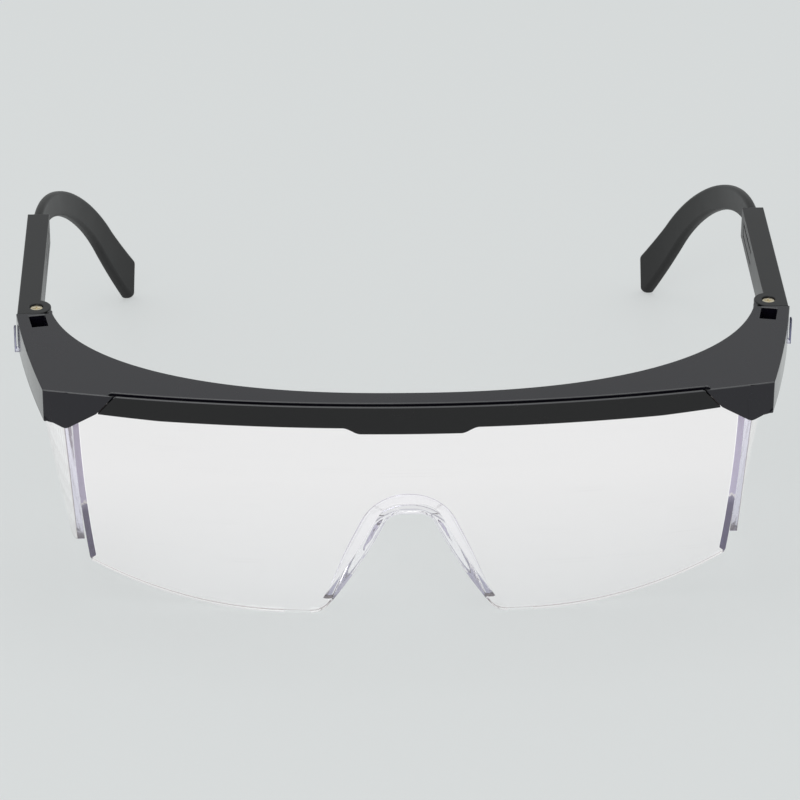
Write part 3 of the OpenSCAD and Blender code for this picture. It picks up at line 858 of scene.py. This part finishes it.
def click_groove_tree():
    """Geometry nodes that cut a row of upright round grooves into a strap."""
    tree, given, result = group_with(
        "click_grooves", "GeometryNodeTree",
        [("Geometry", "NodeSocketGeometry", None), ("First", "NodeSocketVector", None),
         ("Pitch", "NodeSocketFloat", 0.004), ("Count", "NodeSocketInt", 8),
         ("Groove Radius", "NodeSocketFloat", 0.0005), ("Finish", "NodeSocketMaterial", None)],
        [("Geometry", "NodeSocketGeometry")],
    )
    link = tree.links.new
    step = add_node(tree, "ShaderNodeCombineXYZ", (-5, -1))
    spots = add_node(tree, "GeometryNodeMeshLine", (-4, 0))
    cutter = add_node(tree, "GeometryNodeMeshCylinder", (-4, -2), Vertices=20, Depth=12 * MM)
    copies = add_node(tree, "GeometryNodeInstanceOnPoints", (-3, 0))
    cutters = add_node(tree, "GeometryNodeRealizeInstances", (-2, 0))
    cut = add_node(tree, "GeometryNodeMeshBoolean", (-1, 0))
    cut.operation = "DIFFERENCE"
    cut.solver = "EXACT"
    whole = add_node(tree, "GeometryNodeRealizeInstances", (0, 0))
    paint = add_node(tree, "GeometryNodeSetMaterial", (1, 0))
    link(given.outputs["Pitch"], step.inputs["Y"])
    link(given.outputs["Count"], spots.inputs["Count"])
    link(given.outputs["First"], spots.inputs["Start Location"])
    link(step.outputs["Vector"], spots.inputs["Offset"])
    link(given.outputs["Groove Radius"], cutter.inputs["Radius"])
    link(spots.outputs["Mesh"], copies.inputs["Points"])
    link(cutter.outputs["Mesh"], copies.inputs["Instance"])
    link(copies.outputs["Instances"], cutters.inputs["Geometry"])
    link(given.outputs["Geometry"], cut.inputs["Mesh 1"])
    link(cutters.outputs["Geometry"], cut.inputs["Mesh 2"])
    link(cut.outputs["Mesh"], whole.inputs["Geometry"])
    link(whole.outputs["Geometry"], paint.inputs["Geometry"])
    link(given.outputs["Finish"], paint.inputs["Material"])
    link(paint.outputs["Geometry"], result.inputs["Geometry"])
    return tree


click_grooves = click_groove_tree()
groove_r = 0.5 * MM
ear_nylon = moulded_plastic("ear_nylon", (0.004, 0.0038, 0.004), 0.42, 1.4, 0.006 * MM)
for side, sign in (("left", 1), ("right", -1)):
    strap = as_piece("ear_piece_strap_" + side, strap_mesh("strap_" + side, sign))
    softened(strap, 0.85 * MM, steps=5)
    first = (sign * (strap_outside - strap_t - 0.4 * groove_r), strap_start + 10 * MM, strap_z)
    grown(strap, click_grooves, First=first, Pitch=4 * MM, Count=8, Groove_Radius=groove_r,
          Finish=ear_nylon)
    shaded(strap)
    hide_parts("ear_piece_" + side)
    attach(strap, "ear_" + side)


# ---- Hinge screws and nuts ---------------------------------------------------------------
# Small brass screws with a cross recess in a shallow head. Each runs down through both
# ears and the frame's tongue into a hexagonal brass nut.

def cross_screw_tree():
    """Geometry nodes for a cross-head screw: a head on a shank, less a cross recess."""
    tree, given, result = group_with(
        "cross_screw", "GeometryNodeTree",
        [("Geometry", "NodeSocketGeometry", None), ("Top", "NodeSocketVector", None),
         ("Head Radius", "NodeSocketFloat", 0.00125), ("Head Height", "NodeSocketFloat", 0.0006),
         ("Shank Radius", "NodeSocketFloat", 0.0007), ("Length", "NodeSocketFloat", 0.0065),
         ("Finish", "NodeSocketMaterial", None)],
        [("Geometry", "NodeSocketGeometry")],
    )
    link = tree.links.new

    def lowered(mesh, length, row):
        """Moves a mesh that is centred on its length down until its top is at zero."""
        drop = add_math(tree, "MULTIPLY", (-5, row), length, -0.5)
        way = add_node(tree, "ShaderNodeCombineXYZ", (-4, row))
        move = add_node(tree, "GeometryNodeTransform", (-3, row))
        link(drop, way.inputs["Z"])
        link(mesh, move.inputs["Geometry"])
        link(way.outputs["Vector"], move.inputs["Translation"])
        return move.outputs["Geometry"]

    head = add_node(tree, "GeometryNodeMeshCylinder", (-7, 2), Vertices=48)
    link(given.outputs["Head Radius"], head.inputs["Radius"])
    link(given.outputs["Head Height"], head.inputs["Depth"])
    shank = add_node(tree, "GeometryNodeMeshCylinder", (-7, 0), Vertices=32)
    link(given.outputs["Shank Radius"], shank.inputs["Radius"])
    link(given.outputs["Length"], shank.inputs["Depth"])
    body = add_node(tree, "GeometryNodeMeshBoolean", (-2, 1))
    body.operation = "UNION"
    body.solver = "EXACT"
    link(lowered(head.outputs["Mesh"], given.outputs["Head Height"], 2), body.inputs["Mesh 2"])
    link(lowered(shank.outputs["Mesh"], given.outputs["Length"], 0), body.inputs["Mesh 2"])

    # The recess: two short bars, one turned by a quarter, sunk into the head
    corners = add_node(tree, "GeometryNodeMeshLine", (-7, -2), Count=2)
    corners.inputs["Offset"].default_value = (0, 0, 0)
    bar = add_node(tree, "GeometryNodeMeshCube", (-7, -4), Size=(1.55 * MM, 0.3 * MM, 0.7 * MM))
    number = add_node(tree, "GeometryNodeInputIndex", (-8, -3))
    quarter = add_math(tree, "MULTIPLY", (-7, -3), number.outputs["Index"], math.pi / 2)
    turn = add_node(tree, "ShaderNodeCombineXYZ", (-6, -3))
    cross = add_node(tree, "GeometryNodeInstanceOnPoints", (-5, -3))
    bars = add_node(tree, "GeometryNodeRealizeInstances", (-4, -3))
    link(quarter, turn.inputs["Z"])
    link(corners.outputs["Mesh"], cross.inputs["Points"])
    link(bar.outputs["Mesh"], cross.inputs["Instance"])
    link(turn.outputs["Vector"], cross.inputs["Rotation"])
    link(cross.outputs["Instances"], bars.inputs["Geometry"])
    cut = add_node(tree, "GeometryNodeMeshBoolean", (-1, 0))
    cut.operation = "DIFFERENCE"
    cut.solver = "EXACT"
    cut.inputs["Self Intersection"].default_value = True
    link(body.outputs["Mesh"], cut.inputs["Mesh 1"])
    link(bars.outputs["Geometry"], cut.inputs["Mesh 2"])

    place = add_node(tree, "GeometryNodeTransform", (0, 0))
    whole = add_node(tree, "GeometryNodeRealizeInstances", (1, 0))
    paint = add_node(tree, "GeometryNodeSetMaterial", (2, 0))
    link(cut.outputs["Mesh"], place.inputs["Geometry"])
    link(given.outputs["Top"], place.inputs["Translation"])
    link(place.outputs["Geometry"], whole.inputs["Geometry"])
    link(whole.outputs["Geometry"], paint.inputs["Geometry"])
    link(given.outputs["Finish"], paint.inputs["Material"])
    link(paint.outputs["Geometry"], result.inputs["Geometry"])
    return tree


def machined_brass():
    """Bright turned brass with fine marks from the tool."""
    finish = bpy.data.materials.new("hinge_brass")
    finish.use_nodes = True
    tree = finish.node_tree
    shader = tree.nodes["Principled BSDF"]
    shader.inputs["Metallic"].default_value = 1.0
    marks = tree.nodes.new("ShaderNodeGroup")
    marks.node_tree = hairlines
    marks.inputs["Colour"].default_value = (0.78, 0.70, 0.52, 1)
    marks.inputs["Line Colour"].default_value = (0.50, 0.40, 0.25, 1)
    marks.inputs["Roughness"].default_value = 0.30
    marks.inputs["Scale"].default_value = 900.0
    marks.inputs["Amount"].default_value = 0.6
    tree.links.new(marks.outputs["Colour"], shader.inputs["Base Color"])
    tree.links.new(marks.outputs["Roughness"], shader.inputs["Roughness"])
    return finish


cross_screw = cross_screw_tree()
brass = machined_brass()
for side in ("left", "right"):
    screw_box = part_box("hinge_screw_" + side)
    middle = (screw_box[0] + screw_box[1]) / 2
    screw = as_piece("hinge_screw_cross_" + side, bpy.data.meshes.new("screw_" + side))
    grown(screw, cross_screw, Top=(middle.x, middle.y, screw_box[1].z),
          Length=screw_box[1].z - screw_box[0].z, Finish=brass)
    shaded(softened(screw, 0.05 * MM, least_angle=40.0))
    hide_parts("hinge_screw_" + side)
    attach(screw, "temple_" + side)

    nut = as_piece("hinge_nut_hex_" + side, merged_copy("hinge_nut_" + side, 2 * MM))
    shaded(softened(nut, 0.08 * MM, least_angle=40.0))
    nut.data.materials.append(brass)
    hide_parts("hinge_nut_" + side)
    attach(nut, "temple_" + side)
